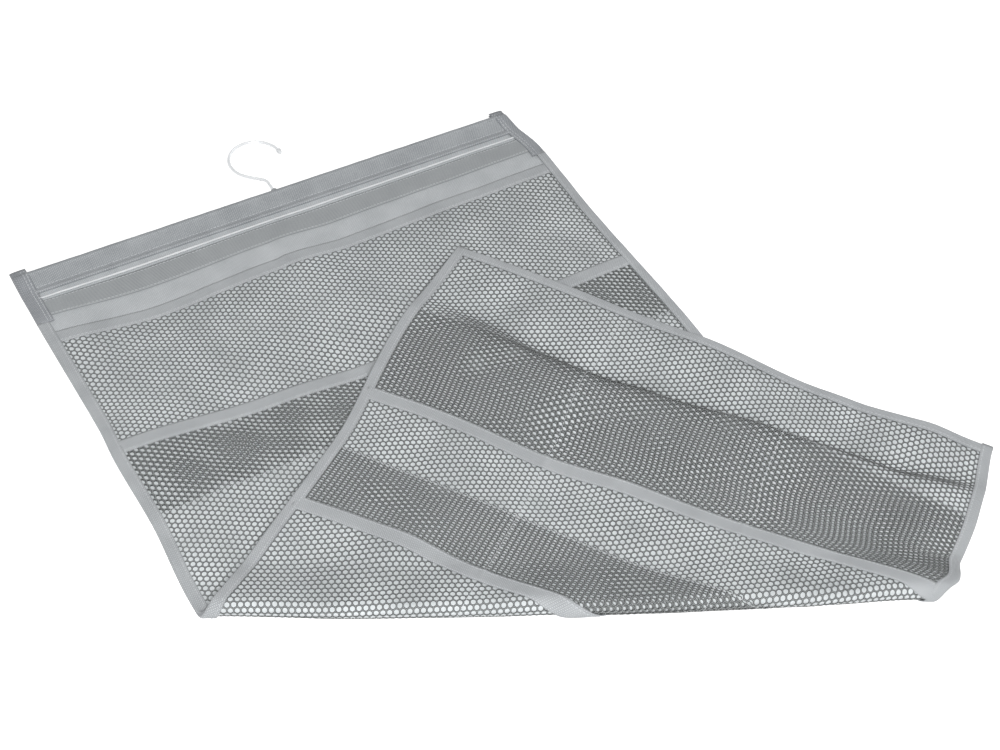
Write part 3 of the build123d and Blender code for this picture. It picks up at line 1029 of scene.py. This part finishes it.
@dataclass
class EdgeBinding(SubAssembly):
    """Tape folded round a long edge, with its topstitching."""

    edge: Edge = Edge.LEFT
    start: float = 0.0
    end: float = 0.0
    reach: float = 0.009
    proud: float = 0.00015
    finish: str = "edge_tape"
    lines: tuple[float, ...] = (0.0020,)
    uneven: float = 0.10
    node: str = ""

    def half(self, v: Array) -> tuple[Array, Array]:
        """Middle height and half height of what the tape wraps."""
        past = self.drape.past_fold(self.u_of(np.full_like(v, self.reach / 2)), v)
        return self.proud * (1 - 2 * past), np.full_like(v, self.cut.outer + self.proud)

    def wall(self) -> Array:
        """Closed outline of the tape, as place in from the edge and share of the half height."""
        return folded_tape(self.reach)

    def stand(self, u_in: Array, v: Array) -> Array:
        """Slight unevenness of the tape's faces."""
        return 1 + self.uneven * ripple(u_in * 2, v, 0.03, 8 if self.edge is Edge.LEFT else 9)

    def u_of(self, inward: Array) -> Array:
        """Place across the cloth of a distance in from this edge."""
        return inward if self.edge is Edge.LEFT else self.cut.width - inward

    def build(self) -> None:
        """Makes the tape and its stitches on both faces."""
        wall = self.wall()
        stations = np.linspace(self.start, self.end, max(8, int((self.end - self.start) / (2.5 * MM))))
        run, inward = np.repeat(stations, len(wall)), np.tile(wall[:, 0], len(stations))
        mid, half = self.half(run)
        height = mid + np.tile(wall[:, 1], len(stations)) * half * self.stand(inward, run)
        u = self.u_of(inward)
        piece = new_piece(f"{self.node}_tape", self.drape.points(u, run, height),
                          tube_faces(len(stations), len(wall)), np.stack([u, run], axis=1))
        self.keep(piece, self.finish, self.node)
        places = [self.u_of(self.reach - line) for line in self.lines]
        rows = [((at, self.start + 1.5 * MM), (at, self.end - 1.5 * MM)) for at in places]
        for face in Face:
            self.sew(f"{self.node}_stitches_{face.label}", rows,
                     lambda u, v, s=face.value: self.surface(u, v, s))

    def surface(self, u: Array, v: Array, sign: int) -> Array:
        """Height of the tape's face under a stitch."""
        mid, half = self.half(v)
        return mid + sign * half * self.stand(self.u_of(u), v)


@dataclass
class SleeveEnd(EdgeBinding):
    """Darker cloth folded round an end of the sleeve and on down the side edge."""

    bar_place: float = 0.0079
    bar_radius: float = 0.0044
    bar_rise: float = 0.0028
    corner: float = 0.0013
    uneven: float = 0.04

    def half(self, v: Array) -> tuple[Array, Array]:
        """Middle and half height, from the flat corner over the round sleeve to the flat edge.

        Args:
            v: places down the cloth.

        Returns:
            The two heights at each place.
        """
        low, radius, below = self.cut.outer + 2 * self.proud, self.bar_radius, v - self.bar_place
        t = below / (self.cut.sleeve - self.bar_place)
        share = smooth_step(t) * 0.4 + 0.6 * np.clip(t, 0, 1)
        nose = radius * np.sqrt(np.clip(1 - (below / radius) ** 2, 0.0, 1))
        half = np.where(below < 0, np.maximum(nose, self.corner), radius + (low - radius) * share)
        return self.bar_rise * (1 - share) + self.proud * share, half

    def wall(self) -> Array:
        """Outline of the end cloth, pinched together at the very edge."""
        wall = super().wall()
        wall[:, 1] *= smooth_step(wall[:, 0] / (6 * MM)) * 0.35 + 0.65
        return wall


@dataclass
class BottomBinding(SubAssembly):
    """Tape folded round the bottom edge."""

    def build(self) -> None:
        """Makes the tape and its stitches on both faces."""
        cut = self.cut
        section = np.array([cut.length, 0.0]) + folded_tape(cut.binding) * (-1, cut.outer)
        piece = self.tailor.carry("bottom_binding_tape", section, cut.across(0.6 * MM, 190))
        self.keep(piece, "edge_tape", "bottom_binding")
        rows = [cut.line(2 * MM, cut.length - cut.binding + 2 * MM)]
        for face in Face:
            self.sew(f"bottom_binding_stitches_{face.label}", rows,
                     lambda u, v, s=face.value: np.full_like(u, s * cut.outer))


@dataclass
class Header(SubAssembly):
    """The sleeve, its closure, and the plain yoke under it."""

    bar_place: float = 0.0079
    bar_radius: float = 0.0043
    bar_rise: float = 0.0028
    strip_top: float = 0.036
    strip_width: float = 0.021
    piping_place: float = 0.033
    piping_radius: float = 0.0008

    def sleeve_section(self, steps: int) -> Array:
        """Outline of the sleeve: round over the bar and tapering to its seam.

        Args:
            steps: points on the round part.

        Returns:
            Rows of place down the cloth and height.
        """
        r, centre, rise = self.bar_radius, self.bar_place, self.bar_rise
        foot, low = self.cut.sleeve, self.cut.outer
        lean_top, lean_under = (math.atan2(drop, foot - centre) for drop in (rise + r - low, low - (r - rise)))
        turn = np.linspace(math.pi / 2 - lean_top, math.pi * 1.5 - lean_under, steps)
        round_part = np.stack([centre + r * np.cos(turn), rise + r * np.sin(turn)], axis=1)
        seam_front, seam_back = np.array([foot, low]), np.array([foot, -low])
        down = round_part[-1] + (seam_back - round_part[-1]) * np.linspace(0, 1, 9)[1:, None]
        up = seam_front + (round_part[0] - seam_front) * np.linspace(0.06, 1, 9)[:-1, None]
        lip = np.array([[1.4 * MM, -low * 0.6], [1.6 * MM, low * 0.6], [1.5 * MM, low + 0.5 * MM],
                        [0.6 * MM, low + 1.1 * MM], [-0.6 * MM, low + 1.1 * MM], [-1.6 * MM, low + 0.5 * MM]])
        return np.concatenate([round_part, down, lip + (foot, 0), up - (1.6 * MM, 0)])

    def sleeve_rise(self, u: Array, v: Array) -> Array:
        """Small dents and pulls in the sleeve cloth."""
        body = np.sin(np.clip(v / self.cut.sleeve, 0, 1) * math.pi)
        return body * (0.35 * MM * ripple(u, v, 0.07, 14) + 0.18 * MM * ripple(u * 2.2, v, 0.05, 15))

    def sleeve(self) -> None:
        """Makes the sleeve and its seam."""
        cut, around = self.cut, self.sleeve_section(22)
        inset = cut.end_cloth - 3 * MM
        piece = self.tailor.carry("sleeve_cloth", around, cut.across(inset, 260), rise=self.sleeve_rise)
        self.keep(piece, "sleeve_cloth", "sleeve")
        rows = [cut.line(cut.end_cloth, cut.sleeve - 3.4 * MM)]
        self.sew("sleeve_seam_stitches", rows, self.seam_height)

    def seam_height(self, u: Array, v: Array) -> Array:
        """Height of the sleeve's front face near its seam."""
        rise, low = self.bar_rise + self.bar_radius - self.cut.outer, self.cut.sleeve
        return self.cut.outer + rise * (low - v) / (low - self.bar_place) + self.sleeve_rise(u, v)

    def yoke_rise(self, u: Array, v: Array) -> Array:
        """Soft pulls in the yoke cloth between the sleeve and the first mouth."""
        body = np.sin(np.clip((v - self.cut.sleeve) / (self.cut.yoke_end - self.cut.sleeve), 0, 1) * math.pi)
        return body * 0.4 * MM * np.maximum(ripple(u, v, 0.08, 17) + 0.3, 0)

    def yoke(self, face: Face) -> None:
        """Makes the plain cloth of one face.

        Args:
            face: the face that it covers.
        """
        cut, edge, top, name = self.cut, 3 * MM, self.cut.sleeve - 1 * MM, f"yoke_{face.label}"
        section = strip_section(top, cut.yoke_end, cut.panel / 2 + 0.05 * MM, cut.single, 26, 0.5 * MM)
        rise = self.yoke_rise if face is Face.FRONT else None
        piece = self.tailor.carry(f"{name}_cloth", section * (1, face.value), cut.across(edge, 200), rise=rise)
        self.keep(piece, "grey_cloth", name)

    def closure(self) -> None:
        """Makes the two closure tapes and the white piping along them."""
        cut, low = self.cut, self.cut.single + 0.05 * MM
        stations = cut.across(cut.end_cloth - 2 * MM, 220)
        strip_end = self.strip_top + self.strip_width
        for i, (name, shrink) in enumerate((("closure_loop_tape", 0.0), ("closure_hook_tape", 0.8 * MM))):
            bottom = low + i * 0.5 * MM
            section = strip_section(self.strip_top + shrink, strip_end - shrink, bottom, bottom + 0.48 * MM, 16,
                                    0.5 * MM)
            piece = self.tailor.carry(f"{name}_strip", section, stations, rise=self.yoke_rise)
            self.keep(piece, "closure_tape", name)
        turn, r = np.linspace(0, math.tau, 12, endpoint=False), self.piping_radius
        cord = np.stack([self.piping_place + r * np.cos(turn), low + r + r * np.sin(turn)], axis=1)
        piece = self.tailor.carry("closure_piping_cord", cord, stations, rise=self.yoke_rise)
        self.keep(piece, "white_piping", "closure_piping")
        rows = [cut.line(cut.end_cloth, v) for v in (self.strip_top + 2.2 * MM, strip_end - 2.2 * MM)]
        self.sew("closure_stitches", rows, lambda u, v: low + 1.0 * MM + self.yoke_rise(u, v))

    def build(self) -> None:
        """Makes the header."""
        self.sleeve()
        for face in Face:
            self.yoke(face)
        self.closure()


def spoke(angle: float) -> Array:
    """Unit step in the plane at an angle."""
    return np.array([math.cos(angle), math.sin(angle)])


@dataclass
class Hook(SubAssembly):
    """The swivel hook: its wire and tip cap, and the hidden pieces that hold it."""

    body: str = "hook"
    loop_radius: float = 0.0225
    loop_offset: float = 0.003
    neck_turn: float = math.radians(48)
    neck_radius: float = 0.007
    shank_rise: float = 0.011
    sweep: float = math.radians(228)
    sides: int = 20
    cap_overlap: float = 0.55

    def route(self) -> Array:
        """Centre line of the wire, in the plane of the bar.

        Returns:
            Points from its foot to its tip.
        """
        turn, r, bend_radius, rise = self.neck_turn, self.loop_radius, self.neck_radius, self.shank_rise
        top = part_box("sleeve")[1].y
        wire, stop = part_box("hook_wire"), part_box("shank_stop_head")
        run = (r * math.cos(turn) - self.loop_offset - bend_radius * (1 - math.cos(turn))) / math.sin(turn)
        bend_centre = np.array([-bend_radius, rise])
        neck = bend_centre + bend_radius * spoke(turn)
        lean = neck + run * np.array([-math.sin(turn), math.cos(turn)])
        centre = np.array([self.loop_offset, lean[1] + r * math.sin(turn)])
        shank = [np.array([0.0, y]) for y in np.linspace(wire[0].y - top, rise, 12)]
        bend = [bend_centre + bend_radius * spoke(a) for a in np.linspace(0, turn, 10)[1:]]
        straight = [neck + (lean - neck) * s for s in np.linspace(0, 1, 6)[1:]]
        loop = [centre + r * spoke(a) for a in np.linspace(math.pi + turn, math.pi + turn - self.sweep, 90)[1:]]
        x, y = np.array(shank + bend + straight + loop).T
        level = np.full(len(x), (wire[0].z + wire[1].z) / 2)
        return np.stack([(stop[0].x + stop[1].x) / 2 + x, top + y, level], axis=1)

    def tube(self, name: str, path: Array, radii: Array) -> bpy.types.Object:
        """Round bar along a path in a level plane.

        Args:
            name: the piece's name.
            path: points of the centre line.
            radii: radius at each point.

        Returns:
            The new piece.
        """
        tangent = np.gradient(path, axis=0)
        tangent /= np.linalg.norm(tangent, axis=1)[:, None]
        side = np.stack([-tangent[:, 1], tangent[:, 0], np.zeros(len(path))], axis=1)
        turn = np.linspace(0, math.tau, self.sides, endpoint=False)[:, None]
        spokes = side[:, None] * np.cos(turn) + np.array([0, 0, 1.0]) * np.sin(turn)
        rings = path[:, None] + radii[:, None, None] * spokes
        return new_piece(name, rings.reshape(-1, 3), tube_faces(len(path), self.sides))

    def build(self) -> None:
        """Makes the hook's pieces and dresses the hidden CAD ones."""
        path, wire, cap = self.route(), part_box("hook_wire"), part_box("hook_tip_cap")
        radii = np.full(len(path), (wire[1].z - wire[0].z) / 2)
        self.keep(self.tube("hook_wire_bright", path, radii), "steel_wire", "hook_wire")
        cap_radius, cap_length = (cap[1].z - cap[0].z) / 2, cap[1].y - cap[0].y
        forward = path[-1] - path[-2]
        forward /= np.linalg.norm(forward)
        shares = np.sin(np.linspace(0, math.pi / 2, 12))[1:]
        places = np.concatenate([[0.0, 0.04, 0.1], 0.1 + 0.9 * shares])
        spans = np.concatenate([[0.8, 0.95, 1.0], np.sqrt(np.maximum(1 - shares ** 2, 1e-4))])
        spine = path[-1] + forward * ((places - self.cap_overlap) * cap_length)[:, None]
        self.keep(self.tube("hook_tip_cap_round", spine, spans * cap_radius), "tip_plastic", "hook_tip_cap")
        for node, finish in HIDDEN.items():
            self.wardrobe.dress(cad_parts[node], finish)
            LOG.info("%s: keeps its CAD shape", node)


@dataclass
class Eyelet(SubAssembly):
    """Stitched ring round the hook's shank in the top of the sleeve."""

    def build(self) -> None:
        """Makes the ring as a rounded collar of cloth."""
        low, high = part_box("hook_eyelet")
        centre, half = (low + high) / 2, (high - low) / 2
        tube = 0.6 * MM
        rings, sides = 40, 12
        a = np.linspace(0, math.tau, rings, endpoint=False)[:, None]
        b = np.linspace(0, math.tau, sides, endpoint=False)
        across = half.x - tube + tube * np.cos(b) * (1 + 0.05 * np.sin(a * 20))
        y = np.broadcast_to(centre.y + half.y * np.sin(b), across.shape)
        points = np.stack([centre.x + across * np.cos(a), y, centre.z + across * np.sin(a)], axis=-1).reshape(-1, 3)
        ring, side = np.meshgrid(np.arange(rings), np.arange(sides), indexing="ij")
        up, nxt = (ring + 1) % rings * sides, (side + 1) % sides
        faces = np.stack([ring * sides + side, up + side, up + nxt, ring * sides + nxt], axis=-1).reshape(-1, 4)
        self.keep(new_piece("hook_eyelet_ring", points, faces.tolist()), "edge_tape", "hook_eyelet")


# ---- studio


@dataclass
class Studio:
    """Floor, lights and camera."""

    azimuth: float = math.radians(-34.82)
    elevation: float = math.radians(48.33)
    roll: float = math.radians(5.71)
    distance: float = 1.366
    lens: float = 63.94
    target: Vector = field(default_factory=lambda: Vector((-0.00045, 0.0042, 0.0)))
    floor_size: float = 12.0
    lamps: tuple[tuple[str, tuple[float, float, float], float, float], ...] = (
        ("key", (-0.75, -1.35, 1.75), 0.8, 50.0), ("fill", (1.6, 0.2, 1.6), 1.6, 6.0))

    def floor(self) -> None:
        """Makes a pale floor that keeps the shadow under the cloth."""
        half = self.floor_size / 2
        corners = np.array([(-half, -half, 0), (half, -half, 0), (half, half, 0), (-half, half, 0)])
        floor = new_piece("floor", corners, [[0, 1, 2, 3]])
        material = bpy.data.materials.new("PaleFloor")
        material.use_nodes = True
        g = Graph(material.node_tree)
        shader = g.tree.nodes["Principled BSDF"].inputs
        for key, value in (("Base Color", (0.93, 0.93, 0.93, 1)), ("Roughness", 0.9), ("Specular IOR Level", 0.0),
                           ("Emission Color", (1, 1, 1, 1))):
            shader[key].default_value = value
        g.link(g.math("MULTIPLY", g.seen(), 0.45), shader["Emission Strength"])
        floor.data.materials.append(material)

    def world(self) -> None:
        """Makes the white surroundings."""
        world = bpy.data.worlds.new("Studio")
        world.use_nodes = True
        bpy.context.scene.world = world
        g = Graph(world.node_tree)
        back = g.tree.nodes["Background"].inputs
        back["Color"].default_value = (1, 1, 1, 1)
        g.link(g.math("MULTIPLY_ADD", g.seen(), 0.7, 0.3), back["Strength"])

    def light(self, name: str, place: tuple[float, float, float], size: float, power: float) -> None:
        """Adds a soft square lamp that points at the object's middle.

        Args:
            name: the lamp's name.
            place: where it stands.
            size: its side.
            power: watts.
        """
        lamp = bpy.data.lights.new(name, "AREA")
        lamp.shape = "SQUARE"
        lamp.size = size
        lamp.energy = power
        holder = bpy.data.objects.new(name, lamp)
        holder.location = place
        holder.rotation_euler = (-Vector(place)).to_track_quat("-Z", "Y").to_euler()
        bpy.context.scene.collection.objects.link(holder)

    def camera(self) -> None:
        """Stands the camera at its angle and rolls it."""
        data = bpy.data.cameras.new("camera")
        data.lens = self.lens
        data.sensor_width = 36.0
        camera = bpy.data.objects.new("camera", data)
        a, e = self.azimuth, self.elevation
        back = Vector((math.sin(a) * math.cos(e), -math.cos(a) * math.cos(e), math.sin(e)))
        camera.location = self.target + back * self.distance
        look = (-back).to_track_quat("-Z", "Y").to_matrix().to_4x4()
        camera.rotation_euler = (look @ Matrix.Rotation(self.roll, 4, "Z")).to_euler()
        bpy.context.scene.collection.objects.link(camera)
        bpy.context.scene.camera = camera

    def build(self) -> None:
        """Makes the studio."""
        self.floor()
        self.world()
        for lamp in self.lamps:
            self.light(*lamp)
        self.camera()
        bpy.context.scene.view_settings.view_transform = "Standard"


def main() -> None:
    """Builds the studio and then the organizer, piece by piece."""
    logging.basicConfig(level=logging.INFO, format="%(name)s %(message)s")
    left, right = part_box("sleeve_end_left")[0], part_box("sleeve_end_right")[1]
    cut = Cut(width=right.x - left.x)
    drape = Drape(cut, Vector((left.x, right.y, cut.outer)))
    low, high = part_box("hanger_bar")
    bar = {"bar_place": right.y - (low.y + high.y) / 2, "bar_rise": (low.z + high.z) / 2 - cut.outer}
    parts = (cut, drape, Tailor(drape), Wardrobe())
    Studio().build()
    MiddlePanel(*parts).build()
    Header(*parts, **bar).build()
    for face in Face:
        for row in range(len(cut.mouths)):
            PocketRow(*parts, face=face, row=row).build()
    for edge in Edge:
        EdgeBinding(*parts, edge=edge, start=cut.end_length - 1 * MM, end=cut.length - 0.2 * MM, reach=cut.binding,
                    node=f"side_binding_{edge.value}").build()
        SleeveEnd(*parts, edge=edge, start=-1.4 * MM, end=cut.end_length, reach=cut.end_cloth, finish="end_cloth",
                  lines=(0.0018, 0.0045), node=f"sleeve_end_{edge.value}", **bar).build()
    for kind in (BottomBinding, Eyelet, Hook):
        kind(*parts).build()


if __name__ == "__main__":
    main()
